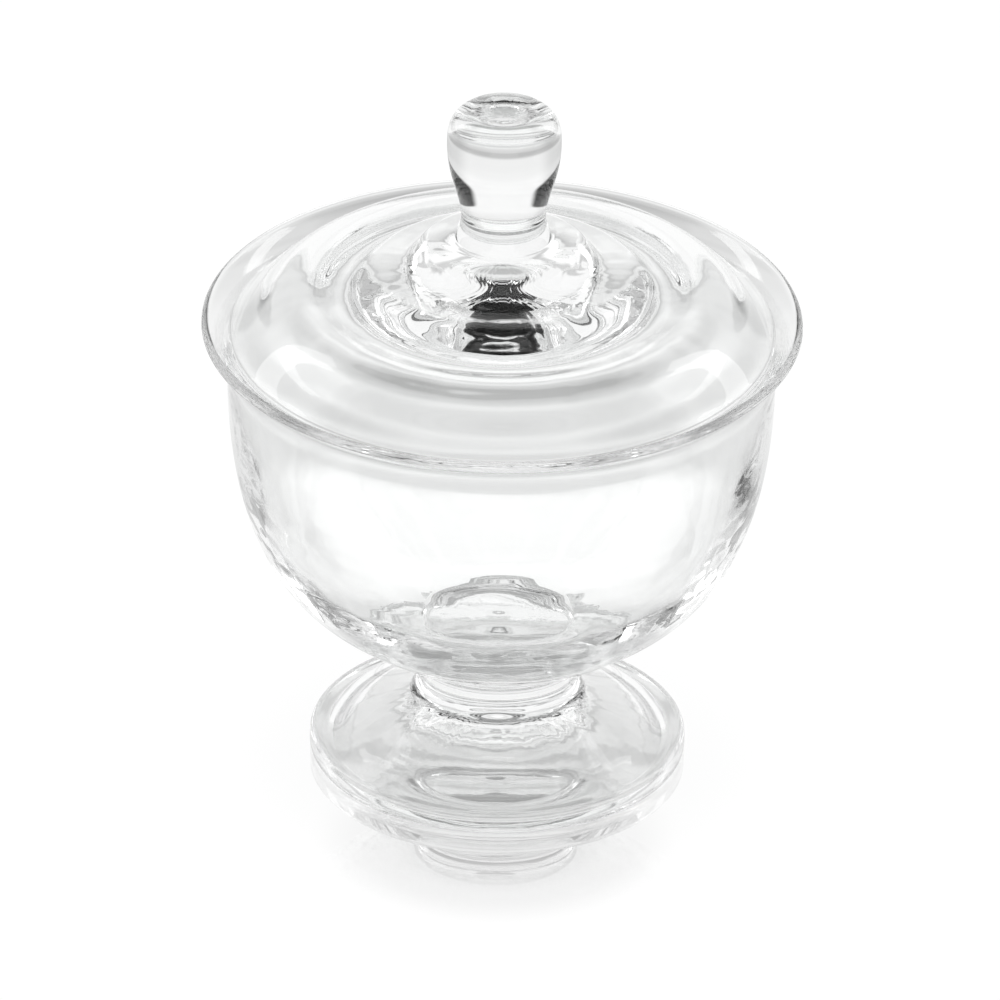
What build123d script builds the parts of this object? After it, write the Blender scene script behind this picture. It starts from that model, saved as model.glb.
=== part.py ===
from build123d import *
from math import acos, cos, degrees, radians, sin, sqrt
import os

# Footed glass dappen dish: bowl, stem and foot below, cover and knob above.
# Every piece is turned about the Z axis, and the foot stands on the plane z = 0.
# Each outline is drawn on the XZ plane, with X as the radius, and then revolved.

# ---- driving dimensions, millimetres ----

# Bowl
rim_radius = 30.0  # outermost edge of the flared lip
lip_overhang = 2.6  # how far the lip reaches past the outside of the wall
neck_height = 43.6  # where the wall starts to flare
flare_radius = 4.6  # outer bend of the flare
bowl_wall = 1.0  # wall at the neck and the lip
bowl_floor = 2.4  # glass under the middle of the inside
bowl_base_height = 11.6  # underside of the bowl, where the stem ends
bowl_dimple_radius = 1.6  # tool mark in the middle of the inside
bowl_dimple_depth = 0.25

# Stem
stem_top_radius = 8.2
stem_waist_radius = 7.9
stem_foot_radius = 8.8

# Foot
foot_radius = 18.8
foot_edge = 2.4  # height of the edge
foot_edge_round = 0.35  # its corner radius, as a share of that height
foot_height = 6.6  # top of the foot, where the stem begins
foot_floor = 2.3  # glass between the stem and the hollow
foot_rest_width = 1.2  # flat ring that the dish stands on
foot_dimple_radius = 2.4  # mark in the roof of the hollow
foot_dimple_depth = 0.4

# Lid
lid_overlap = 0.9  # how far the lid's edge reaches past the inside of the neck
lid_edge = 1.1  # thickness of the rounded edge
lid_edge_slope = 40.0  # degrees, of the outer band where it leaves the edge
lid_wall = 1.5  # glass of the outer band
lid_centre = 5.8  # glass under the knob
lid_centre_sag = 0.6  # how much lower the underside is round that place
lid_step_drop = 0.2  # how far the underside of the step lies below the valley
seat_clearance = 0.12  # between the lid's edge and the flare that it sits in
lid_crown_rise = 11.1  # heights are taken from the middle of the edge

# Rings of the lid, as shares of its radius and of the rise of its crown
crest_share = (0.707, 0.486)  # top of the outer band
valley_share = (0.593, 0.428)  # low ring inside the crest
shoulder_share = (0.484, 0.631)
shelf_share = (0.352, 0.739)
boss_share = (0.300, 0.892)  # gathered glass round the knob

# Knob
knob_root_radius = 4.8
knob_waist_radius = 4.28
knob_waist_rise = 1.9  # heights are taken from the crown of the lid
knob_radius = 5.7
knob_widest_rise = 10.3
knob_height = 14.1
knob_top_radius = 3.3  # crest round the dished top
knob_top_fall = 1.25  # how far below the top the rounded corner bends most
knob_dish_depth = 0.5


def moved_in(outline, start_wall, end_wall, shares):
    """Points a wall's thickness to the left of an outline, at the given shares of its length."""
    points = []
    for share in shares:
        wall = start_wall + (end_wall - start_wall) * share
        along = outline.tangent_at(share)
        points.append(outline.position_at(share) + Vector(-along.Y, along.X) * wall)
    return points


# ---- foot: a low cone with a rounded edge and a hollow underneath ----

edge_round = foot_edge_round * foot_edge
foot_rest_radius = foot_radius - edge_round
foot_roof = foot_height - foot_floor
foot_slope_radius = (stem_foot_radius + foot_radius) / 2
with BuildPart() as foot:
    with BuildSketch(Plane.XZ):
        with BuildLine():
            Line((0, foot_height), (stem_foot_radius, foot_height))
            top_line = Spline(
                (stem_foot_radius, foot_height),
                (foot_slope_radius, foot_edge + 0.36 * (foot_height - foot_edge)),
                (foot_rest_radius, foot_edge),
                tangents=((1, -0.62), (1, -0.18)),
            )
            upper_corner = CenterArc((foot_rest_radius, foot_edge - edge_round), edge_round, 90, -90)
            lower_corner = CenterArc((foot_rest_radius, edge_round), edge_round, 0, -90)
            Line(upper_corner @ 1, lower_corner @ 0)
            rest_line = Line(lower_corner @ 1, (foot_rest_radius - foot_rest_width, 0))
            hollow_line = Spline(
                rest_line @ 1,
                (foot_slope_radius, 0.42 * foot_roof),
                (stem_waist_radius, 0.86 * foot_roof),
                (foot_dimple_radius, foot_roof),
                tangents=((-1, 0.5), (-1, 0)),
            )
            dimple_line = Spline(
                hollow_line @ 1,
                (foot_dimple_radius / 2, foot_roof + foot_dimple_depth / 2),
                (0, foot_roof + foot_dimple_depth),
                tangents=((-1, 0), (-1, 0)),
            )
            Line(dimple_line @ 1, (0, foot_height))
        make_face()
    revolve(axis=Axis.Z)
foot.part.label = "foot"

# ---- stem: a short solid column with a slight waist ----

stem_middle = (foot_height + bowl_base_height) / 2
with BuildPart() as stem:
    with BuildSketch(Plane.XZ):
        with BuildLine():
            Line((0, bowl_base_height), (0, foot_height))
            Line((0, foot_height), (stem_foot_radius, foot_height))
            Spline(
                (stem_foot_radius, foot_height),
                (stem_waist_radius, stem_middle),
                (stem_top_radius, bowl_base_height),
                tangents=((-0.7, 0.7), (0.35, 1)),
            )
            Line((stem_top_radius, bowl_base_height), (0, bowl_base_height))
        make_face()
    revolve(axis=Axis.Z)
stem.part.label = "stem"

# ---- bowl: round body, straight neck and a flared lip with a rounded edge ----

neck_radius = rim_radius - lip_overhang
body_depth = neck_height - bowl_base_height
floor_height = bowl_base_height + bowl_floor
lip_middle = flare_radius + bowl_wall / 2
flare_centre = (neck_radius + flare_radius, neck_height)
flare_turn = degrees(acos((flare_centre[0] + bowl_wall / 2 - rim_radius) / lip_middle))
lip_out = Vector(sin(radians(flare_turn)), cos(radians(flare_turn)))
lip_tip = (rim_radius, neck_height + lip_middle * sin(radians(flare_turn)))
with BuildPart() as bowl:
    with BuildSketch(Plane.XZ):
        with BuildLine():
            Line((0, bowl_base_height), (stem_top_radius, bowl_base_height))
            body_line = Spline(
                (stem_top_radius, bowl_base_height),
                (0.570 * neck_radius, bowl_base_height + 0.120 * body_depth),
                (0.775 * neck_radius, bowl_base_height + 0.265 * body_depth),
                (0.895 * neck_radius, bowl_base_height + 0.435 * body_depth),
                (0.975 * neck_radius, bowl_base_height + 0.690 * body_depth),
                (neck_radius, neck_height),
                tangents=((1, 0.24), (0, 1)),
            )
            outer_flare = CenterArc(flare_centre, flare_radius, 180, -flare_turn)
            inner_flare = CenterArc(flare_centre, flare_radius + bowl_wall, 180, -flare_turn)
            ThreePointArc(outer_flare @ 1, lip_tip, inner_flare @ 1)
            floor_line = Spline(
                (bowl_dimple_radius, floor_height),
                *moved_in(body_line, bowl_floor, bowl_wall, (0.12, 0.32, 0.52, 0.72)),
                inner_flare @ 0,
                tangents=((1, 0), (0, 1)),
            )
            dimple_line = Spline(
                floor_line @ 0,
                (bowl_dimple_radius / 2, floor_height - bowl_dimple_depth / 2),
                (0, floor_height - bowl_dimple_depth),
                tangents=((-1, 0), (-1, 0)),
            )
            Line(dimple_line @ 1, (0, bowl_base_height))
        make_face()
    revolve(axis=Axis.Z)
bowl.part.label = "bowl"

# ---- lid: domed cover whose rounded edge sits in the flare ----

lid_radius = neck_radius - bowl_wall + lid_overlap
edge_half = lid_edge / 2
edge_radius = lid_radius - edge_half
seat_run = flare_centre[0] - edge_radius
seat_reach = flare_radius + bowl_wall + seat_clearance + edge_half
edge_height = neck_height + sqrt(seat_reach**2 - seat_run**2)
crown_height = edge_height + lid_crown_rise
edge_up = Vector(sin(radians(lid_edge_slope)), cos(radians(lid_edge_slope))) * edge_half
edge_in = (-cos(radians(lid_edge_slope)), sin(radians(lid_edge_slope)))
edge_middle = Vector(edge_radius, edge_height)
crest, valley, shoulder, shelf, boss = [
    (radius_share * lid_radius, edge_height + rise_share * lid_crown_rise)
    for radius_share, rise_share in (crest_share, valley_share, shoulder_share, shelf_share, boss_share)
]
under_knob = crown_height - lid_centre
with BuildPart() as lid:
    with BuildSketch(Plane.XZ):
        with BuildLine():
            cover_line = Spline(
                edge_middle + edge_up,
                crest,
                valley,
                shoulder,
                shelf,
                boss,
                (knob_root_radius, crown_height),
                tangents=(edge_in, (-1, 0.55)),
            )
            underside = Spline(
                edge_middle - edge_up,
                *moved_in(cover_line, lid_wall, lid_wall, (0.11, 0.235, 0.36)),
                (shoulder[0], valley[1] - lid_step_drop),
                (knob_root_radius, under_knob - lid_centre_sag),
                (0, under_knob),
                tangents=(edge_in, (-1, 0)),
            )
            ThreePointArc(cover_line @ 0, (lid_radius, edge_height), underside @ 0)
            Line(cover_line @ 1, (0, crown_height))
            Line((0, crown_height), underside @ 1)
        make_face()
    revolve(axis=Axis.Z)
lid.part.label = "lid"

# ---- knob: solid, waisted, with a rounded and slightly dished top ----

knob_top_height = crown_height + knob_height
with BuildPart() as knob:
    with BuildSketch(Plane.XZ):
        with BuildLine():
            Line((0, crown_height), (knob_root_radius, crown_height))
            grip_line = Spline(
                (knob_root_radius, crown_height),
                (knob_waist_radius, crown_height + knob_waist_rise),
                ((knob_waist_radius + knob_radius) / 2, crown_height + 0.58 * knob_widest_rise),
                (knob_radius, crown_height + knob_widest_rise),
                tangents=((-0.35, 1), (0, 1)),
            )
            shoulder_line = Spline(
                grip_line @ 1,
                (0.925 * knob_radius, knob_top_height - knob_top_fall),
                (knob_top_radius, knob_top_height),
                tangents=((0, 1), (-1, 0)),
            )
            dish_line = Spline(
                shoulder_line @ 1,
                (knob_top_radius / 2, knob_top_height - 0.6 * knob_dish_depth),
                (0, knob_top_height - knob_dish_depth),
                tangents=((-1, 0), (-1, 0)),
            )
            Line(dish_line @ 1, (0, crown_height))
        make_face()
    revolve(axis=Axis.Z)
knob.part.label = "knob"

# ---- one STEP file for each piece ----

os.makedirs("parts", exist_ok=True)
export_step(foot.part, "parts/foot.step")
export_step(stem.part, "parts/stem.step")
export_step(bowl.part, "parts/bowl.step")
export_step(lid.part, "parts/lid.step")
export_step(knob.part, "parts/knob.step")
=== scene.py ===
"""Footed glass dappen dish with a lid: five turned pieces of clear glass on a pale floor."""

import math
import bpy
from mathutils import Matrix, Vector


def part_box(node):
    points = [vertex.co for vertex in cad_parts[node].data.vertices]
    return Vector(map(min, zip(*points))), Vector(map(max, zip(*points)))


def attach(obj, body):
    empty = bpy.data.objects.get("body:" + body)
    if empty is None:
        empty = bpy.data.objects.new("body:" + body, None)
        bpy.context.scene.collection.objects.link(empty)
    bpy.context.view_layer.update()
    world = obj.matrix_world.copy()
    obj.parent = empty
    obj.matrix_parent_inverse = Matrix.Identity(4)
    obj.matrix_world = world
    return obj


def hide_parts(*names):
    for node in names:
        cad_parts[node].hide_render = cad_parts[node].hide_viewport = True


bl_info = {
    "name": "Footed Glass Dish",
    "version": (1, 0, 0),
    "blender": (4, 5, 0),
    "location": "View3D > Sidebar > Glass Dish",
    "description": "Turns the bowl, stem, foot, lid and knob of a footed glass dish",
    "category": "Add Mesh",
}

import bpy
import numpy as np
from bpy.props import FloatProperty, FloatVectorProperty, IntProperty, PointerProperty
from mathutils import Quaternion, Vector

MM = 0.001
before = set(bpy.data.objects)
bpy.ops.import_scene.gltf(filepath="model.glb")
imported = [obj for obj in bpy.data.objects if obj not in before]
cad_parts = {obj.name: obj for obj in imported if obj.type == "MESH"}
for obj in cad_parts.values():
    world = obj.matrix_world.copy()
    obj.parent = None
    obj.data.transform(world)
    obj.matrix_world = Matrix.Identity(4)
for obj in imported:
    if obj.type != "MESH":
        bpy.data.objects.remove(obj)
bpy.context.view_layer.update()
BOX = {node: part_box(node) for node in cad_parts}


def length(name, text, default):
    """A size in metres, shown with its unit."""
    return FloatProperty(name=name, description=text, default=default, min=0.0, unit="LENGTH", precision=5)


def share(name, text, default):
    """A plain number with a name."""
    return FloatProperty(name=name, description=text, default=default)


def colour(name, text, default):
    """A colour swatch."""
    return FloatVectorProperty(
        name=name, description=text, default=default, size=3, subtype="COLOR", min=0, max=1
    )


class DishSizes(bpy.types.PropertyGroup):
    """Sizes of the bowl, the stem and the foot."""

    rim_radius: length("Rim radius", "Outermost edge of the flared lip", BOX["bowl"][1].x)
    neck_radius: length("Neck radius", "Outside of the wall under the flare", 27.4 * MM)
    neck_height: length("Neck height", "Where the wall starts to flare", 43.6 * MM)
    flare_radius: length("Flare radius", "Outer bend of the flare", 4.6 * MM)
    wall: length("Wall", "Wall at the neck and the lip", 1.0 * MM)
    floor: length("Floor", "Glass under the middle of the inside", 2.4 * MM)
    base_height: length("Base height", "Underside of the bowl", BOX["bowl"][0].z)
    dimple_radius: length("Dimple radius", "Tool mark inside the bowl", 1.6 * MM)
    dimple_depth: length("Dimple depth", "Depth of the tool mark", 0.25 * MM)
    stem_top_radius: length("Stem top", "Radius of the stem under the bowl", 8.2 * MM)
    stem_waist_radius: length("Stem waist", "Radius of the stem at its middle", 7.9 * MM)
    stem_foot_radius: length("Stem foot", "Radius of the stem on the foot", BOX["stem"][1].x)
    foot_radius: length("Foot radius", "Outermost edge of the foot", BOX["foot"][1].x)
    foot_edge: length("Foot edge", "Thickness of the rounded edge", 2.4 * MM)
    foot_height: length("Foot height", "Top of the foot under the stem", BOX["foot"][1].z)
    foot_floor: length("Foot floor", "Glass between the stem and the hollow", 2.3 * MM)
    foot_rest: length("Foot rest", "Width of the ring that the dish stands on", 1.2 * MM)
    foot_dimple_radius: length("Foot dimple radius", "Mark in the roof of the hollow", 2.4 * MM)
    foot_dimple_depth: length("Foot dimple depth", "Depth of that mark", 0.4 * MM)


class CoverSizes(bpy.types.PropertyGroup):
    """Sizes of the lid and its knob."""

    lid_radius: length("Lid radius", "Outermost edge of the lid", BOX["lid"][1].x)
    edge: length("Edge", "Thickness of the rounded edge", 1.1 * MM)
    edge_slope: share("Edge slope", "Degrees, where the band leaves the edge", 40.0)
    wall: length("Wall", "Glass of the outer band", 1.5 * MM)
    centre: length("Centre", "Glass under the knob", 5.8 * MM)
    crest_radius: length("Crest radius", "Top of the outer band", 19.3 * MM)
    crest_rise: length("Crest rise", "Height of the crest over the middle of the edge", 5.4 * MM)
    valley_radius: length("Valley radius", "Low ring inside the crest", 16.2 * MM)
    valley_rise: length("Valley rise", "Height there", 4.75 * MM)
    shoulder_radius: length("Shoulder radius", "Top of the step up", 13.2 * MM)
    shoulder_rise: length("Shoulder rise", "Height there", 7.0 * MM)
    shelf_radius: length("Shelf radius", "Foot of the gathered glass round the knob", 9.6 * MM)
    shelf_rise: length("Shelf rise", "Height there", 8.2 * MM)
    boss_radius: length("Boss radius", "Top of the gathered glass", 8.2 * MM)
    boss_rise: length("Boss rise", "Height there", 9.9 * MM)
    knob_root: length("Knob root", "Radius of the knob on the lid", 4.8 * MM)
    knob_waist: length("Knob waist", "Smallest radius of the knob", 4.28 * MM)
    knob_waist_rise: length("Waist rise", "Height of the waist over the crown", 1.9 * MM)
    knob_radius: length("Knob radius", "Widest radius of the knob", BOX["knob"][1].x)
    knob_widest_rise: length("Widest rise", "Height of the widest place", 10.3 * MM)
    knob_top_radius: length("Knob top radius", "Crest round the dished top", 3.3 * MM)
    knob_dish: length("Knob dish", "Depth of the dished top", 0.5 * MM)


class GlassLook(bpy.types.PropertyGroup):
    """Finish of the glass."""

    tint: colour("Tint", "Colour of the glass", (0.985, 0.99, 0.988))
    ior: share("Index", "Refractive index of soda glass", 1.5)
    ripple: share("Ripple", "Strength of the fire-polished unevenness", 0.12)
    ripple_height: length("Ripple height", "Height of the waves on the inside faces", 0.07 * MM)
    segments: IntProperty(name="Segments", description="Faces round a piece", default=256, min=24)


class StageLook(bpy.types.PropertyGroup):
    """Floor, light and camera."""

    elevation: share("Elevation", "Camera height over the horizon, degrees", 28.9)
    distance: length("Distance", "Camera to the dish", 3.333)
    lens: share("Lens", "Focal length, millimetres", 1200.0)
    aim: length("Aim", "Height that the camera looks at", 28.0 * MM)
    roll: share("Roll", "Camera roll, degrees", 0.7)


# ---- outlines: points (radius, height), all the way round one half of a piece's section ----

SAME_POINT = 1e-7  # metres; points nearer than this are one
RIPPLE_FADE = 0.6  # under 1, so that the waves stay strong until near the ends of their run
BOWL_BODY = [(0.57, 0.120), (0.775, 0.265), (0.895, 0.435), (0.975, 0.690)]  # of neck radius and depth
BOWL_INSIDE = (0.12, 0.32, 0.52, 0.72)  # where along the body its wall is measured
FOOT_EDGE_ROUND = 0.35  # radius of the edge's corners, of its thickness
FOOT_SAG = 0.36  # height of the foot's top halfway out, of its rise
HOLLOW_RISE = (0.42, 0.86)  # height of the hollow halfway out and under the stem, of its roof
LID_BAND = (0.3, 0.65, 1.0)  # where along the outer band its wall is measured
LID_STEP_DROP = 0.2 * MM  # how far the underside of the step lies below the valley
LID_CENTRE_SAG = 0.6 * MM  # how much lower the underside is round its middle
KNOB_SWELL = 0.58  # where the knob is halfway from waist to widest, of the widest rise
KNOB_CORNER = 0.925  # radius where the rounded corner bends most, of the knob's
KNOB_TOP_FALL = 1.25 * MM  # how far below the top that is
KNOB_DISH_SHARE = 0.6  # depth of the dished top at half its radius, of its depth


def arc(centre, radius, start, turn, count):
    """Points on a circle, from the start angle through the turn, in degrees."""
    angles = np.radians(np.linspace(start, start + turn, count))
    return np.array(centre) + radius * np.column_stack([np.cos(angles), np.sin(angles)])


def smooth_run(points, start_way, end_way, count):
    """A smooth curve through the points that leaves and arrives along the two directions."""
    knots = np.array([tuple(point)[:2] for point in points], float)
    gaps = np.linalg.norm(np.diff(knots, axis=0), axis=1)
    places = np.concatenate([[0.0], np.cumsum(gaps)])
    last = len(knots) - 1
    system = np.eye(last + 1)
    target = np.zeros_like(knots)
    target[0] = np.array(start_way) / np.linalg.norm(start_way)
    target[last] = np.array(end_way) / np.linalg.norm(end_way)
    for i in range(1, last):
        before, after = gaps[i - 1], gaps[i]
        system[i, i - 1 : i + 2] = (after, 2 * (before + after), before)
        rise, fall = (knots[i] - knots[i - 1]) / before, (knots[i + 1] - knots[i]) / after
        target[i] = 3 * (after * rise + before * fall)
    ways = np.linalg.solve(system, target)
    where = np.linspace(0, places[-1], count)
    span = np.clip(np.searchsorted(places, where, side="right") - 1, 0, last - 1)
    gap = gaps[span][:, None]
    u = ((where - places[span]) / gaps[span])[:, None]
    return (
        (1 + 2 * u) * (1 - u) ** 2 * knots[span]
        + u**2 * (3 - 2 * u) * knots[span + 1]
        + gap * u * (1 - u) ** 2 * ways[span]
        + gap * u**2 * (u - 1) * ways[span + 1]
    )


def moved_in(run, start_wall, end_wall, shares):
    """Points a wall's thickness to the left of a run, at the given shares of its length."""
    steps = np.linalg.norm(np.diff(run, axis=0), axis=1)
    along = np.concatenate([[0.0], np.cumsum(steps)]) / steps.sum()
    ways = np.gradient(run, axis=0)
    ways /= np.linalg.norm(ways, axis=1)[:, None]
    points = []
    for part in shares:
        place = [np.interp(part, along, run[:, k]) for k in (0, 1)]
        way = [np.interp(part, along, ways[:, k]) for k in (0, 1)]
        wall = start_wall + (end_wall - start_wall) * part
        points.append((place[0] - way[1] * wall, place[1] + way[0] * wall))
    return points


def straight(start, end, count):
    """Points on a straight line."""
    return np.linspace(tuple(start)[:2], tuple(end)[:2], count)


def rippled(run):
    """The run with a ripple weight on each point: full in its middle, none at its ends."""
    weights = np.sin(np.linspace(0, np.pi, len(run))) ** RIPPLE_FADE
    return np.column_stack([run, weights])


def joined(*runs):
    """One outline of (radius, height, ripple weight) from runs that follow each other."""
    points = []
    for run in runs:
        for point in run:
            radius, height, *weight = (float(number) for number in point)
            if not points or math.dist((radius, height), points[-1][:2]) > SAME_POINT:
                points.append((radius, height, weight[0] if weight else 0.0))
    return points


def dimple(radius, height, depth, count, half_way=0.5):
    """In to the axis across a shallow hollow, half_way of its depth deep at half its radius."""
    run = [(radius, height), (radius / 2, height - half_way * depth), (0, height - depth)]
    return smooth_run(run, (-1, 0), (-1, 0), count)


def flare(sizes):
    """Centre of the flare's bend, its turn in degrees and the middle of the lip's radius."""
    centre = (sizes.neck_radius + sizes.flare_radius, sizes.neck_height)
    middle = sizes.flare_radius + sizes.wall / 2
    turn = math.degrees(math.acos((centre[0] + sizes.wall / 2 - sizes.rim_radius) / middle))
    return centre, turn, middle


def bowl_outline(sizes):
    """Up the outside from the stem, over the lip and down the inside to the axis."""
    depth = sizes.neck_height - sizes.base_height
    base = sizes.base_height
    neck = sizes.neck_radius
    body = smooth_run(
        [
            (sizes.stem_top_radius, base),
            *((out * neck, base + up * depth) for out, up in BOWL_BODY),
            (neck, sizes.neck_height),
        ],
        (1, 0.24),
        (0, 1),
        90,
    )
    centre, turn, middle = flare(sizes)
    outer = arc(centre, sizes.flare_radius, 180, -turn, 16)
    inner = arc(centre, sizes.flare_radius + sizes.wall, 180, -turn, 16)
    tip_centre = (
        centre[0] - middle * math.cos(math.radians(turn)),
        centre[1] + middle * math.sin(math.radians(turn)),
    )
    lip = arc(tip_centre, sizes.wall / 2, -turn, 180, 14)
    floor_height = base + sizes.floor
    inside = smooth_run(
        [
            (sizes.dimple_radius, floor_height),
            *moved_in(body, sizes.floor, sizes.wall, BOWL_INSIDE),
            inner[0],
        ],
        (1, 0),
        (0, 1),
        90,
    )
    mark = dimple(sizes.dimple_radius, floor_height, sizes.dimple_depth, 12)
    underside = straight((0, base), (sizes.stem_top_radius, base), 4)
    return joined(underside, body, outer, lip, inner[::-1], rippled(inside[::-1]), mark)


def stem_outline(sizes):
    """Out over the foot, up the side and back to the axis under the bowl."""
    low, high = sizes.foot_height, sizes.base_height
    side = smooth_run(
        [
            (sizes.stem_foot_radius, low),
            (sizes.stem_waist_radius, (low + high) / 2),
            (sizes.stem_top_radius, high),
        ],
        (-0.7, 0.7),
        (0.35, 1),
        30,
    )
    return joined(straight((0, low), side[0], 4), side, straight(side[-1], (0, high), 4))


def foot_outline(sizes):
    """Along the roof of the hollow, round the edge and up the top to the stem."""
    edge = FOOT_EDGE_ROUND * sizes.foot_edge
    rest = sizes.foot_radius - edge
    roof = sizes.foot_height - sizes.foot_floor
    slope = (sizes.stem_foot_radius + sizes.foot_radius) / 2
    top = smooth_run(
        [
            (sizes.stem_foot_radius, sizes.foot_height),
            (slope, sizes.foot_edge + FOOT_SAG * (sizes.foot_height - sizes.foot_edge)),
            (rest, sizes.foot_edge),
        ],
        (1, -0.62),
        (1, -0.18),
        40,
    )
    upper = arc((rest, sizes.foot_edge - edge), edge, 90, -90, 10)
    lower = arc((rest, edge), edge, 0, -90, 10)
    hollow = smooth_run(
        [
            (rest - sizes.foot_rest, 0),
            (slope, HOLLOW_RISE[0] * roof),
            (sizes.stem_waist_radius, HOLLOW_RISE[1] * roof),
            (sizes.foot_dimple_radius, roof),
        ],
        (-1, 0.5),
        (-1, 0),
        50,
    )
    mark = dimple(sizes.foot_dimple_radius, roof, -sizes.foot_dimple_depth, 10)
    crown = straight((0, sizes.foot_height), top[0], 4)
    ground = straight((rest, 0), hollow[0], 3)
    return joined(crown, top, upper, lower, ground, rippled(hollow), mark)[::-1]


def lid_outline(cover):
    """In along the underside from the edge, then out over the top."""
    middle = Vector((cover.lid_radius - cover.edge / 2, BOX["lid"][0].z + cover.edge / 2))
    slope = math.radians(cover.edge_slope)
    up = Vector((math.sin(slope), math.cos(slope))) * (cover.edge / 2)
    inward = (-math.cos(slope), math.sin(slope))
    crown = BOX["lid"][1].z
    top = smooth_run(
        [
            middle + up,
            (cover.crest_radius, middle.y + cover.crest_rise),
            (cover.valley_radius, middle.y + cover.valley_rise),
            (cover.shoulder_radius, middle.y + cover.shoulder_rise),
            (cover.shelf_radius, middle.y + cover.shelf_rise),
            (cover.boss_radius, middle.y + cover.boss_rise),
            (cover.knob_root, crown),
        ],
        inward,
        (-1, 0.55),
        140,
    )
    band = top[top[:, 0] > cover.crest_radius]
    under = smooth_run(
        [
            middle - up,
            *moved_in(band, cover.wall, cover.wall, LID_BAND),
            (cover.shoulder_radius, middle.y + cover.valley_rise - LID_STEP_DROP),
            (cover.knob_root, crown - cover.centre - LID_CENTRE_SAG),
            (0, crown - cover.centre),
        ],
        inward,
        (-1, 0),
        140,
    )
    edge = arc(tuple(middle), cover.edge / 2, 90 - cover.edge_slope, -180, 14)
    return joined(straight((0, crown), top[-1], 4), top[::-1], edge, rippled(under))[::-1]


def knob_outline(cover):
    """Out over the lid, up the side and in across the dished top."""
    low, high = BOX["knob"][0].z, BOX["knob"][1].z
    widest = low + cover.knob_widest_rise
    grip = smooth_run(
        [
            (cover.knob_root, low),
            (cover.knob_waist, low + cover.knob_waist_rise),
            ((cover.knob_waist + cover.knob_radius) / 2, low + KNOB_SWELL * cover.knob_widest_rise),
            (cover.knob_radius, widest),
        ],
        (-0.35, 1),
        (0, 1),
        60,
    )
    shoulder = smooth_run(
        [
            (cover.knob_radius, widest),
            (KNOB_CORNER * cover.knob_radius, high - KNOB_TOP_FALL),
            (cover.knob_top_radius, high),
        ],
        (0, 1),
        (-1, 0),
        40,
    )
    dish = dimple(cover.knob_top_radius, high, cover.knob_dish, 20, KNOB_DISH_SHARE)
    return joined(straight((0, low), grip[0], 4), grip, shoulder, rippled(dish))


# ---- materials ----

SWELL_SCALE = 180.0  # swells of the fire-polished face in a metre
SWELL_HEIGHT = 0.2 * MM


def nodes_of(owner):
    """Turns on the nodes of a material or a world, empties them and returns the tree."""
    owner.use_nodes = True
    owner.node_tree.nodes.clear()
    return owner.node_tree


def clear_glass(look):
    """Polished soda glass with the faint unevenness that fire polishing leaves."""
    material = bpy.data.materials.new("clear_glass")
    tree = nodes_of(material)
    add = tree.nodes.new
    link = tree.links.new
    output = add("ShaderNodeOutputMaterial")
    glass = add("ShaderNodeBsdfPrincipled")
    glass.inputs["Base Color"].default_value = (*look.tint, 1)
    glass.inputs["Roughness"].default_value = 0.0
    glass.inputs["IOR"].default_value = look.ior
    glass.inputs["Transmission Weight"].default_value = 1.0
    place = add("ShaderNodeTexCoord")
    swell = add("ShaderNodeTexNoise")
    swell.inputs["Scale"].default_value = SWELL_SCALE
    swell.inputs["Detail"].default_value = 1.0
    bump = add("ShaderNodeBump")
    bump.inputs["Strength"].default_value = look.ripple
    bump.inputs["Distance"].default_value = SWELL_HEIGHT
    link(place.outputs["Object"], swell.inputs["Vector"])
    link(swell.outputs["Fac"], bump.inputs["Height"])
    link(bump.outputs["Normal"], glass.inputs["Normal"])
    link(glass.outputs["BSDF"], output.inputs["Surface"])
    return material


def fused_joint():
    """Where two gathers of glass were fused hot: light passes straight through."""
    material = bpy.data.materials.new("fused_joint")
    tree = nodes_of(material)
    output = tree.nodes.new("ShaderNodeOutputMaterial")
    through = tree.nodes.new("ShaderNodeBsdfTransparent")
    tree.links.new(through.outputs["BSDF"], output.inputs["Surface"])
    return material


def named_material(name, maker, *arguments):
    """The material of that name, made the first time that it is asked for."""
    return bpy.data.materials.get(name) or maker(*arguments)


# ---- geometry nodes: an outline turned about Z ----

LATHE_INPUTS = {
    "Geometry": "NodeSocketGeometry",
    "Segments": "NodeSocketInt",
    "Glass": "NodeSocketMaterial",
    "Joint": "NodeSocketMaterial",
    "Low Joint": "NodeSocketFloat",
    "High Joint": "NodeSocketFloat",
    "Ripple": "NodeSocketFloat",
    "Ripple Towards": "NodeSocketVector",
}
RINGS = (1.6, 420.0)  # waves that run round the piece: detail round the axis, and along the outline
RIBS = (7.0, 90.0)  # waves that run up and down it, in the same way
HEIGHT_SHARE = 0.7  # how much a climb counts as a way along the outline, against a way outwards
WELD = 1e-6  # metres; closes the seam and the poles
ON_JOINT = 1e-6  # metres from a joint's height that still count as on it
CREASE = 0.5  # radians; edges that bend more stay sharp


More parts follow.
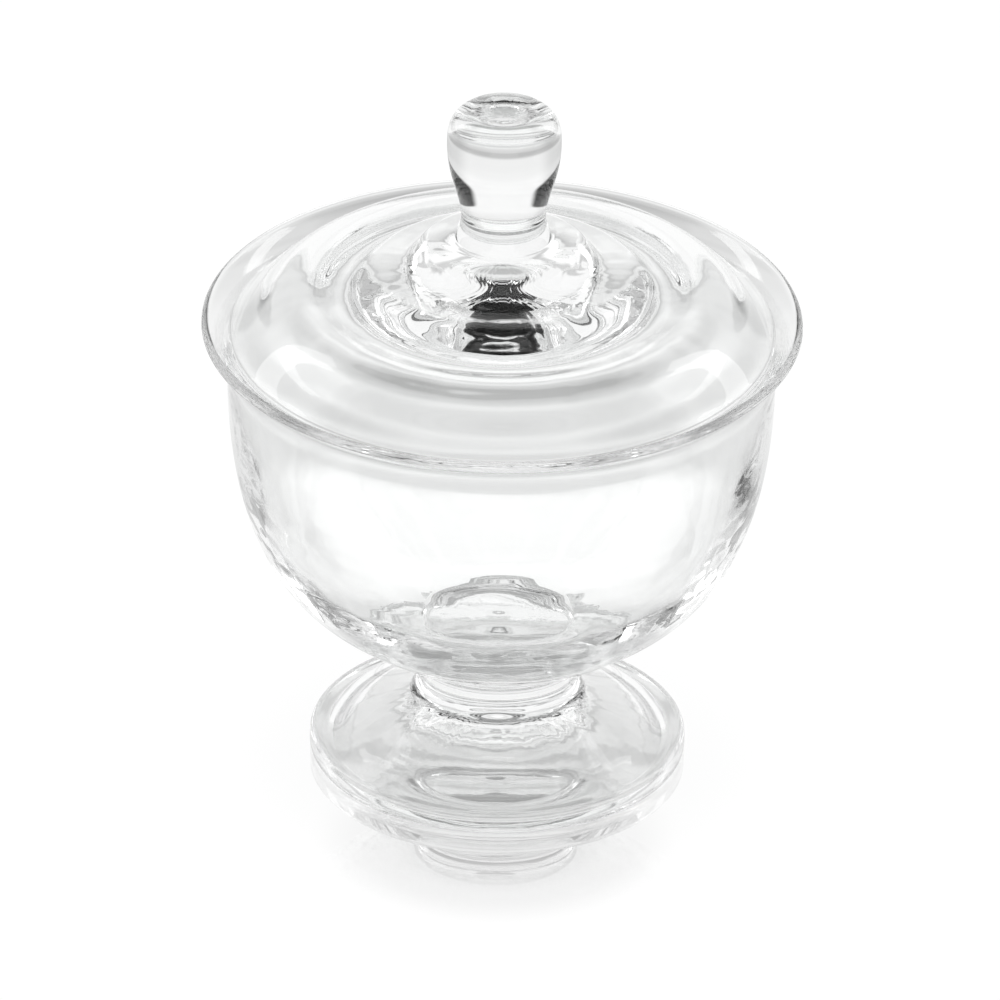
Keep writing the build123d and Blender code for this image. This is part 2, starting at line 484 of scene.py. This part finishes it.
class Tree:
    """A node group with short calls for adding nodes and links."""

    def __init__(self, name):
        self.group = bpy.data.node_groups.new(name, "GeometryNodeTree")

    def socket(self, name, kind, direction="INPUT"):
        """Adds a named input or output of the group."""
        return self.group.interface.new_socket(name=name, in_out=direction, socket_type=kind)

    def node(self, kind, **settings):
        """Adds a node and sets its properties."""
        made = self.group.nodes.new(kind)
        for key, value in settings.items():
            setattr(made, key, value)
        return made

    def link(self, source, target):
        """Joins an output to an input."""
        self.group.links.new(source, target)

    def math(self, operation, first, second=None):
        """The result of a sum on sockets or plain numbers."""
        made = self.node("ShaderNodeMath", operation=operation)
        for slot, value in enumerate((first, second)):
            if value is None:
                continue
            if isinstance(value, (int, float)):
                made.inputs[slot].default_value = value
            else:
                self.link(value, made.inputs[slot])
        return made.outputs[0]

    def vector_math(self, operation, first, second=None):
        """The vector that comes from one or two others."""
        made = self.node("ShaderNodeVectorMath", operation=operation)
        self.link(first, made.inputs[0])
        if second:
            self.link(second, made.inputs[1])
        return made.outputs["Vector"]

    def wave(self, cosine, sine, along, turns, pitch):
        """Noise about zero that repeats round the axis: its detail round it, and along the outline."""
        where = self.node("ShaderNodeCombineXYZ")
        self.link(self.math("MULTIPLY", cosine, turns), where.inputs["X"])
        self.link(self.math("MULTIPLY", sine, turns), where.inputs["Y"])
        self.link(self.math("MULTIPLY", along, pitch), where.inputs["Z"])
        noise = self.node("ShaderNodeTexNoise")
        noise.inputs["Scale"].default_value = 1.0
        noise.inputs["Detail"].default_value = 1.0
        self.link(where.outputs["Vector"], noise.inputs["Vector"])
        return self.math("SUBTRACT", noise.outputs["Fac"], 0.5)


def rippled_by(tree, inputs, place, parts, round_axis):
    """How far each point moves with the waves, along its line to the place that they push towards."""
    climb = tree.math("MULTIPLY", parts["Z"], HEIGHT_SHARE)
    along = tree.math("ADD", parts["X"], climb)
    waves = tree.math("ADD", tree.wave(*round_axis, along, *RINGS), tree.wave(*round_axis, along, *RIBS))
    amount = tree.math("MULTIPLY", tree.math("MULTIPLY", waves, inputs["Ripple"]), parts["Y"])
    way = tree.vector_math("NORMALIZE", tree.vector_math("SUBTRACT", inputs["Ripple Towards"], place))
    shift = tree.node("ShaderNodeVectorMath", operation="SCALE")
    tree.link(way, shift.inputs["Vector"])
    tree.link(amount, shift.inputs["Scale"])
    return shift.outputs["Vector"]


def turned_grid(tree, inputs):
    """A grid with a row for each outline point, bent round the axis and rippled."""
    size = tree.node("GeometryNodeAttributeDomainSize")
    tree.link(inputs["Geometry"], size.inputs["Geometry"])
    rows = size.outputs["Point Count"]
    grid = tree.node("GeometryNodeMeshGrid")
    tree.link(tree.math("ADD", inputs["Segments"], 1), grid.inputs["Vertices X"])
    tree.link(rows, grid.inputs["Vertices Y"])
    index = tree.node("GeometryNodeInputIndex").outputs[0]
    column = tree.math("FLOOR", tree.math("DIVIDE", tree.math("ADD", index, 0.5), rows))
    row = tree.math("SUBTRACT", index, tree.math("MULTIPLY", column, rows))
    angle = tree.math("MULTIPLY", tree.math("DIVIDE", column, inputs["Segments"]), math.tau)
    outline = tree.node("GeometryNodeSampleIndex", data_type="FLOAT_VECTOR", domain="POINT")
    tree.link(inputs["Geometry"], outline.inputs["Geometry"])
    tree.link(tree.node("GeometryNodeInputPosition").outputs[0], outline.inputs["Value"])
    tree.link(row, outline.inputs["Index"])
    split = tree.node("ShaderNodeSeparateXYZ")
    tree.link(outline.outputs["Value"], split.inputs[0])
    parts = split.outputs
    cosine, sine = tree.math("COSINE", angle), tree.math("SINE", angle)
    place = tree.node("ShaderNodeCombineXYZ")
    tree.link(tree.math("MULTIPLY", parts["X"], cosine), place.inputs["X"])
    tree.link(tree.math("MULTIPLY", parts["X"], sine), place.inputs["Y"])
    tree.link(parts["Z"], place.inputs["Z"])
    turned = tree.node("GeometryNodeSetPosition")
    tree.link(grid.outputs["Mesh"], turned.inputs["Geometry"])
    tree.link(place.outputs["Vector"], turned.inputs["Position"])
    offset = rippled_by(tree, inputs, place.outputs["Vector"], parts, (cosine, sine))
    tree.link(offset, turned.inputs["Offset"])
    return turned.outputs["Geometry"]


def closed_and_smoothed(tree, geometry):
    """The grid with its seam and poles closed, shaded smooth except at sharp edges."""
    merged = tree.node("GeometryNodeMergeByDistance")
    merged.inputs["Distance"].default_value = WELD
    tree.link(geometry, merged.inputs["Geometry"])
    bend = tree.node("GeometryNodeInputMeshEdgeAngle").outputs["Unsigned Angle"]
    smooth = tree.node("GeometryNodeSetShadeSmooth", domain="FACE")
    crease = tree.node("GeometryNodeSetShadeSmooth", domain="EDGE")
    crease.inputs["Shade Smooth"].default_value = False
    tree.link(merged.outputs["Geometry"], smooth.inputs["Geometry"])
    tree.link(smooth.outputs["Geometry"], crease.inputs["Geometry"])
    tree.link(tree.math("GREATER_THAN", bend, CREASE), crease.inputs["Selection"])
    return crease.outputs["Geometry"]


def with_materials(tree, inputs, geometry):
    """Glass all over, and the joint's material on the faces at either joint's height."""
    glass = tree.node("GeometryNodeSetMaterial")
    tree.link(geometry, glass.inputs["Geometry"])
    tree.link(inputs["Glass"], glass.inputs["Material"])
    height = tree.node("ShaderNodeSeparateXYZ")
    tree.link(tree.node("GeometryNodeInputPosition").outputs[0], height.inputs[0])
    gaps = []
    for level in ("Low Joint", "High Joint"):
        gaps.append(tree.math("ABSOLUTE", tree.math("SUBTRACT", height.outputs["Z"], inputs[level])))
    joint = tree.node("GeometryNodeSetMaterial")
    tree.link(glass.outputs["Geometry"], joint.inputs["Geometry"])
    tree.link(tree.math("LESS_THAN", tree.math("MINIMUM", *gaps), ON_JOINT), joint.inputs["Selection"])
    tree.link(inputs["Joint"], joint.inputs["Material"])
    return joint.outputs["Geometry"]


def lathe_tree():
    """Outline in, closed turned piece out: X is a point's radius, Y its ripple weight, Z its height."""
    name = "Lathe"
    if name in bpy.data.node_groups:
        return bpy.data.node_groups[name]
    tree = Tree(name)
    for label, kind in LATHE_INPUTS.items():
        tree.socket(label, kind)
    tree.socket("Geometry", "NodeSocketGeometry", "OUTPUT")
    inputs = tree.node("NodeGroupInput").outputs
    real = tree.node("GeometryNodeRealizeInstances")
    tree.link(closed_and_smoothed(tree, turned_grid(tree, inputs)), real.inputs["Geometry"])
    output = tree.node("NodeGroupOutput")
    tree.link(with_materials(tree, inputs, real.outputs["Geometry"]), output.inputs["Geometry"])
    return tree.group


def turned_piece(name, outline, joints, ripple_towards, look):
    """A closed piece turned from its outline, as a plain mesh."""
    mesh = bpy.data.meshes.new(name + "_outline")
    points = [(radius, weight, height) for radius, height, weight in outline]
    mesh.from_pydata(points, [(i, i + 1) for i in range(len(points) - 1)], [])
    blank = bpy.data.objects.new(name + "_outline", mesh)
    bpy.context.scene.collection.objects.link(blank)
    modifier = blank.modifiers.new("Lathe", "NODES")
    modifier.node_group = lathe_tree()
    values = {
        "Segments": look.segments,
        "Glass": named_material("clear_glass", clear_glass, look),
        "Joint": named_material("fused_joint", fused_joint),
        "Low Joint": joints[0],
        "High Joint": joints[1],
        "Ripple": look.ripple_height,
        "Ripple Towards": ripple_towards,
    }
    for item in modifier.node_group.interface.items_tree:
        if item.in_out == "INPUT" and item.name in values:
            modifier[item.identifier] = values[item.name]
    blank.update_tag()
    graph = bpy.context.evaluated_depsgraph_get()
    made = bpy.data.meshes.new_from_object(blank.evaluated_get(graph), depsgraph=graph)
    made.name = name
    piece = bpy.data.objects.new(name, made)
    bpy.context.scene.collection.objects.link(piece)
    bpy.data.objects.remove(blank)
    return piece


NO_JOINT = -1.0  # a height that no face has
FEWEST_FACES = 1000  # a piece with fewer came out empty


class PieceOperator(bpy.types.Operator):
    """Makes one turned piece of glass."""

    bl_options = {"REGISTER", "UNDO"}
    node = ""
    body = ""
    finish = ""
    ripple_towards = 0.0  # height on the axis that the waves push towards, of the piece's own height

    def outline(self, scene):
        """The piece's outline from the sizes in the panel."""
        raise NotImplementedError

    def joints(self, scene):
        """Heights of the faces that are fused to another piece."""
        return NO_JOINT, NO_JOINT

    def execute(self, context):
        scene = context.scene
        low, high = BOX[self.node]
        piece = turned_piece(
            self.node + "_glass",
            self.outline(scene),
            self.joints(scene),
            (0, 0, low.z + self.ripple_towards * (high.z - low.z)),
            scene.glass_look,
        )
        if len(piece.data.polygons) < FEWEST_FACES:
            raise RuntimeError(f"{self.node} came out empty")
        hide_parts(self.node)
        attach(piece, self.body)
        return {"FINISHED"}


class GLASSDISH_OT_bowl(PieceOperator):
    """Turns the bowl with its flared lip."""

    bl_idname = "glassdish.bowl"
    bl_label = "Bowl"
    node, body, finish = "bowl", "dish", "dish_glass"
    ripple_towards = 0.65

    def outline(self, scene):
        return bowl_outline(scene.dish_sizes)

    def joints(self, scene):
        return scene.dish_sizes.base_height, NO_JOINT


class GLASSDISH_OT_stem(PieceOperator):
    """Turns the stem between the bowl and the foot."""

    bl_idname = "glassdish.stem"
    bl_label = "Stem"
    node, body, finish = "stem", "dish", "dish_glass"

    def outline(self, scene):
        return stem_outline(scene.dish_sizes)

    def joints(self, scene):
        return scene.dish_sizes.foot_height, scene.dish_sizes.base_height


class GLASSDISH_OT_foot(PieceOperator):
    """Turns the hollow foot."""

    bl_idname = "glassdish.foot"
    bl_label = "Foot"
    node, body, finish = "foot", "dish", "dish_glass"
    ripple_towards = -8.0

    def outline(self, scene):
        return foot_outline(scene.dish_sizes)

    def joints(self, scene):
        return NO_JOINT, scene.dish_sizes.foot_height


class GLASSDISH_OT_lid(PieceOperator):
    """Turns the domed lid."""

    bl_idname = "glassdish.lid"
    bl_label = "Lid"
    node, body, finish = "lid", "cover", "lid_glass"
    ripple_towards = -8.0

    def outline(self, scene):
        return lid_outline(scene.cover_sizes)

    def joints(self, scene):
        return NO_JOINT, BOX["lid"][1].z


class GLASSDISH_OT_knob(PieceOperator):
    """Turns the solid knob."""

    bl_idname = "glassdish.knob"
    bl_label = "Knob"
    node, body, finish = "knob", "cover", "lid_glass"
    ripple_towards = -8.0

    def outline(self, scene):
        return knob_outline(scene.cover_sizes)

    def joints(self, scene):
        return BOX["knob"][0].z, NO_JOINT


class GLASSDISH_OT_stage(bpy.types.Operator):
    """Makes the floor, the light and the camera."""

    bl_idname = "glassdish.stage"
    bl_label = "Stage"
    bl_options = {"REGISTER", "UNDO"}

    def execute(self, context):
        look = context.scene.stage_look
        make_camera(context.scene, look)
        make_floor()
        make_world(context.scene)
        make_lights(context.scene)
        set_rendering(context.scene)
        return {"FINISHED"}


# ---- stage: camera, floor, studio and lamps ----

SENSOR_WIDTH = 36  # millimetres
NEAREST, FARTHEST = 0.01, 50  # metres that the camera sees between

# A Mix node's sockets when it mixes colours.
AMOUNT, COLOUR_A, COLOUR_B, MIXED = 0, 6, 7, 2

# Grey levels of the floor, by distance in metres: painted shade and light on a glowing floor. Rays that
# the glass bends or mirrors see the painted rings, the painted dark far out and the painted shadow under
# the dish, and the camera itself sees a painted shadow in front of the foot.
FLOOR_REACH = 0.45
# painted shadow rings round the dish, and inside them a painted brighter pool of light
PAINTED_RING_STOPS = [
    (0.0, 1.1),
    (0.05, 1.12),
    (0.06, 0.84),
    (0.066, 0.84),
    (0.08, 0.95),
    (0.098, 0.78),
    (0.115, 0.68),
    (0.124, 0.54),
    (0.136, 0.54),
    (0.152, 0.88),
    (0.2, 0.92),
    (0.27, 1.0),
]
FAR_PAINTED_DARK_STOPS = [(0.0, 1.0), (0.33, 1.0), (0.39, 0.02)]  # painted dark far out, at the sides only
# reach of the painted shadows under and in front of the dish
SHADOW_REACH = 0.1
UNDER_SHADOW_FORWARD = 12 * MM
UNDER_SHADOW_STOPS = [(0.0, 0.58), (0.027, 0.6), (0.037, 1.0)]  # painted shadow under the dish
# centre of the painted shadow that the camera sees, in front of the foot
SEEN_SHADOW_FORWARD = 19 * MM
SEEN_SHADOW_STOPS = [(0.0, 0.7), (0.006, 0.74), (0.012, 0.9), (0.019, 1.02)]  # painted soft shadow in front of the foot, which the camera sees
MIRROR_REACH = 60 * MM
MIRROR_STOPS = [(0.0, 0.5), (17 * MM, 0.5), (34 * MM, 0.0)]  # share of the mirror image

# Grey levels by how far a direction turns to the left or right: 0 straight on, 1 at the side.
SIDE_FROM = [(0.0, 0.0), (0.38, 0.0), (0.52, 1.0)]  # how much a side's own levels count
# painted shade on the floor, darker towards the sides
SIDE_SHADE_STOPS = [(0.0, 1.0), (0.45, 1.0), (0.75, 0.8), (1.0, 0.78)]

# Grey levels of the studio, which only bent or mirrored rays see, by the height of a direction: 0 level,
# 1 straight up.
HORIZON_STOPS = [(0.0, 0.1), (0.07, 0.12), (0.13, 1.0)]  # dark low down, at the sides only
SKY_STOPS = [(0.0, 1.0), (0.48, 1.0), (0.52, 0.66), (0.56, 0.66), (0.62, 1.1), (0.74, 1.1), (0.8, 0.03)]
DARK_FROM = [(0.0, 0.0), (0.55, 0.0), (0.6, 1.0)]  # how much the dark part at the front counts

# Grey levels of the studio by how nearly a direction is the one up towards the front.
FRONT_UP = (0.0, -0.8, 0.6)
DARK_STOPS = [(0.0, 1.0), (0.52, 1.0), (0.6, 0.35), (0.7, 0.03), (1.0, 0.03)]
DIM_STOPS = [(0.0, 1.0), (0.32, 1.0), (0.42, 0.5), (0.68, 0.5), (0.78, 0.9), (1.0, 0.9)]

FLOOR_HALF = 6.0  # metres
FLOOR_HEIGHT = -0.02 * MM  # just clear of the foot
SOFT_BOX_SIZE = (0.25, 0.7)  # metres, width and height
SOFT_BOX_POWER = 1.0  # watts
SOFT_BOX_PLACE = (1.0, 0.6, 0.8)  # of the right one; the left one mirrors it
BOUNCES = 64


def make_camera(scene, look):
    """Long lens, looking down on the dish."""
    camera = bpy.data.objects.new("camera", bpy.data.cameras.new("camera"))
    scene.collection.objects.link(camera)
    elevation = math.radians(look.elevation)
    back = Vector((0, -math.cos(elevation), math.sin(elevation)))
    camera.location = Vector((0, 0, look.aim)) + back * look.distance
    camera.rotation_mode = "QUATERNION"
    turn = Quaternion((0, 0, 1), math.radians(look.roll))
    camera.rotation_quaternion = (-back).to_track_quat("-Z", "Y") @ turn
    camera.data.lens = look.lens
    camera.data.sensor_width = SENSOR_WIDTH
    camera.data.clip_start = NEAREST
    camera.data.clip_end = FARTHEST
    scene.camera = camera


def radial_ramp(tree, reach, stops, forward=0.0):
    """Grey levels by distance from the axis, or from a place in front of it, out to the reach."""
    place = tree.nodes.new("ShaderNodeTexCoord")
    distance = tree.nodes.new("ShaderNodeVectorMath")
    distance.operation = "DISTANCE"
    distance.inputs[1].default_value = (0, -forward, 0)
    scaled = tree.nodes.new("ShaderNodeMath")
    scaled.operation = "DIVIDE"
    scaled.inputs[1].default_value = reach
    tree.links.new(place.outputs["Object"], distance.inputs[0])
    tree.links.new(distance.outputs["Value"], scaled.inputs[0])
    return grey_ramp(tree, scaled.outputs[0], [(away / reach, level) for away, level in stops])


def grey_ramp(tree, source, stops):
    """A colour ramp of greys on a plain number."""
    ramp = tree.nodes.new("ShaderNodeValToRGB")
    ramp.color_ramp.interpolation = "EASE"
    elements = ramp.color_ramp.elements
    elements[0].position, elements[-1].position = stops[0][0], stops[-1][0]
    for position, _level in stops[1:-1]:
        elements.new(position)
    for element, (_position, level) in zip(elements, stops):
        element.color = (level, level, level, 1)
    tree.links.new(source, ramp.inputs["Fac"])
    return ramp.outputs["Color"]


def multiplied(tree, first, second, amount=None):
    """The product of two greys; the second counts by the amount, or in full."""
    product = tree.nodes.new("ShaderNodeMix")
    product.data_type = "RGBA"
    product.blend_type = "MULTIPLY"
    product.inputs[AMOUNT].default_value = 1.0
    if amount:
        tree.links.new(amount, product.inputs[AMOUNT])
    tree.links.new(first, product.inputs[COLOUR_A])
    tree.links.new(second, product.inputs[COLOUR_B])
    return product.outputs[MIXED]


def seen_by(tree, glass_sees):
    """A mix of what the glass sees and, as its second colour, what the camera sees directly."""
    ray = tree.nodes.new("ShaderNodeLightPath")
    seen = tree.nodes.new("ShaderNodeMix")
    seen.data_type = "RGBA"
    tree.links.new(ray.outputs["Is Camera Ray"], seen.inputs[AMOUNT])
    tree.links.new(glass_sees, seen.inputs[COLOUR_A])
    return seen


def to_the_sides(tree, direction):
    """How far a direction turns to the left or right of the dish: nothing straight on, one at the side."""
    unit = tree.nodes.new("ShaderNodeVectorMath")
    unit.operation = "NORMALIZE"
    parts = tree.nodes.new("ShaderNodeSeparateXYZ")
    sideways = tree.nodes.new("ShaderNodeMath")
    sideways.operation = "ABSOLUTE"
    tree.links.new(direction, unit.inputs[0])
    tree.links.new(unit.outputs["Vector"], parts.inputs[0])
    tree.links.new(parts.outputs["X"], sideways.inputs[0])
    return sideways.outputs[0]


def floor_painted_shade(tree):
    """The floor as the glass sees it: painted shadow rings round a painted brighter pool of light, a
    painted shadow under the dish, and painted dark far out and towards the sides.
    """
    place = tree.nodes.new("ShaderNodeTexCoord")
    # painted shadow rings and a painted brighter pool of light
    rings = radial_ramp(tree, FLOOR_REACH, PAINTED_RING_STOPS)
    # times the painted shadow under the dish
    near = multiplied(tree, rings, radial_ramp(tree, SHADOW_REACH, UNDER_SHADOW_STOPS, UNDER_SHADOW_FORWARD))
    sides = to_the_sides(tree, place.outputs["Object"])
    # painted dark far out at the sides
    far = radial_ramp(tree, FLOOR_REACH, FAR_PAINTED_DARK_STOPS)
    level = multiplied(tree, near, far, grey_ramp(tree, sides, SIDE_FROM))
    # times the painted shade towards the sides
    return multiplied(tree, level, grey_ramp(tree, sides, SIDE_SHADE_STOPS))


def make_floor():
    """A pale table top, lit from within, with a mirror image of the foot that fades outwards.

    The camera sees it plain but for a painted soft shadow round the foot, and the glass sees its painted
    shade and light.
    """
    mesh = bpy.data.meshes.new("floor")
    corners = [
        (x * FLOOR_HALF, y * FLOOR_HALF, FLOOR_HEIGHT) for x, y in ((-1, -1), (1, -1), (1, 1), (-1, 1))
    ]
    mesh.from_pydata(corners, [], [(0, 1, 2, 3)])
    floor = bpy.data.objects.new("floor", mesh)
    bpy.context.scene.collection.objects.link(floor)
    material = bpy.data.materials.new("floor")
    tree = nodes_of(material)
    link = tree.links.new
    output = tree.nodes.new("ShaderNodeOutputMaterial")
    blend = tree.nodes.new("ShaderNodeMixShader")
    glow = tree.nodes.new("ShaderNodeEmission")
    shine = tree.nodes.new("ShaderNodeBsdfGlossy")
    shine.inputs["Color"].default_value = (1, 1, 1, 1)
    shine.inputs["Roughness"].default_value = 0.0
    # bent and mirrored rays see the painted shadow rings, the painted shadow under the dish and the
    # painted dark
    seen = seen_by(tree, floor_painted_shade(tree))
    # the camera sees a painted soft shadow in front of the foot
    link(radial_ramp(tree, SHADOW_REACH, SEEN_SHADOW_STOPS, SEEN_SHADOW_FORWARD), seen.inputs[COLOUR_B])
    link(seen.outputs[MIXED], glow.inputs["Color"])
    link(radial_ramp(tree, MIRROR_REACH, MIRROR_STOPS), blend.inputs[0])
    link(glow.outputs[0], blend.inputs[1])
    link(shine.outputs[0], blend.inputs[2])
    link(blend.outputs[0], output.inputs["Surface"])
    mesh.materials.append(material)


def studio_greys(tree):
    """The studio as the glass sees it: dark overhead, high at the front, and low at both sides."""
    place = tree.nodes.new("ShaderNodeTexCoord").outputs["Generated"]
    parts = tree.nodes.new("ShaderNodeSeparateXYZ")
    tree.links.new(place, parts.inputs[0])
    height = parts.outputs["Z"]
    facing = tree.nodes.new("ShaderNodeVectorMath")
    facing.operation = "DOT_PRODUCT"
    facing.inputs[1].default_value = FRONT_UP
    tree.links.new(place, facing.inputs[0])
    front = facing.outputs["Value"]
    dark = grey_ramp(tree, front, DARK_STOPS)
    sky = multiplied(tree, grey_ramp(tree, height, SKY_STOPS), dark, grey_ramp(tree, height, DARK_FROM))
    sky = multiplied(tree, sky, grey_ramp(tree, front, DIM_STOPS))
    horizon = grey_ramp(tree, height, HORIZON_STOPS)
    return multiplied(tree, sky, horizon, grey_ramp(tree, to_the_sides(tree, place), SIDE_FROM))


def make_world(scene):
    """A studio that is plain white to the camera, with the greys and dark parts that the glass sees."""
    world = bpy.data.worlds.new("studio")
    scene.world = world
    tree = nodes_of(world)
    output = tree.nodes.new("ShaderNodeOutputWorld")
    background = tree.nodes.new("ShaderNodeBackground")
    seen = seen_by(tree, studio_greys(tree))
    seen.inputs[COLOUR_B].default_value = (1, 1, 1, 1)
    tree.links.new(seen.outputs[MIXED], background.inputs["Color"])
    tree.links.new(background.outputs["Background"], output.inputs["Surface"])


def make_lights(scene):
    """Two tall soft boxes, behind the dish on the left and on the right."""
    across, behind, above = SOFT_BOX_PLACE
    for side in (-1, 1):
        box = bpy.data.lights.new("soft_box", "AREA")
        box.shape = "RECTANGLE"
        box.size, box.size_y = SOFT_BOX_SIZE
        box.energy = SOFT_BOX_POWER
        lamp = bpy.data.objects.new("soft_box", box)
        scene.collection.objects.link(lamp)
        lamp.location = (side * across, behind, above)
        lamp.rotation_mode = "QUATERNION"
        lamp.rotation_quaternion = (-lamp.location).to_track_quat("-Z", "Y")


def set_rendering(scene):
    """Enough bounces for light to cross every wall of the glass."""
    scene.view_settings.view_transform = "Standard"
    scene.cycles.max_bounces = BOUNCES
    scene.cycles.transmission_bounces = BOUNCES
    scene.cycles.glossy_bounces = BOUNCES
    scene.cycles.transparent_max_bounces = BOUNCES
    scene.cycles.blur_glossy = 0.0


PIECES = (GLASSDISH_OT_foot, GLASSDISH_OT_stem, GLASSDISH_OT_bowl, GLASSDISH_OT_lid, GLASSDISH_OT_knob)
SETTINGS = {
    "dish_sizes": DishSizes,
    "cover_sizes": CoverSizes,
    "glass_look": GlassLook,
    "stage_look": StageLook,
}


class GLASSDISH_PT_panel(bpy.types.Panel):
    """Lists the stage and the pieces."""

    bl_idname = "GLASSDISH_PT_panel"
    bl_label = "Glass Dish"
    bl_space_type = "VIEW_3D"
    bl_region_type = "UI"
    bl_category = "Glass Dish"

    def draw(self, context):
        for operator in (GLASSDISH_OT_stage, *PIECES):
            self.layout.operator(operator.bl_idname)


CLASSES = (*SETTINGS.values(), *PIECES, GLASSDISH_OT_stage, GLASSDISH_PT_panel)


def register():
    """Adds the classes and the settings that the scene keeps."""
    for one in CLASSES:
        bpy.utils.register_class(one)
    for name, group in SETTINGS.items():
        setattr(bpy.types.Scene, name, PointerProperty(type=group))


def unregister():
    """Takes them away again."""
    for name in SETTINGS:
        delattr(bpy.types.Scene, name)
    for one in reversed(CLASSES):
        bpy.utils.unregister_class(one)


def main():
    """Makes the stage and every piece."""
    register()
    bpy.ops.glassdish.stage()
    for piece in PIECES:
        getattr(bpy.ops.glassdish, piece.bl_idname.split(".")[1])()


if __name__ == "__main__":
    main()
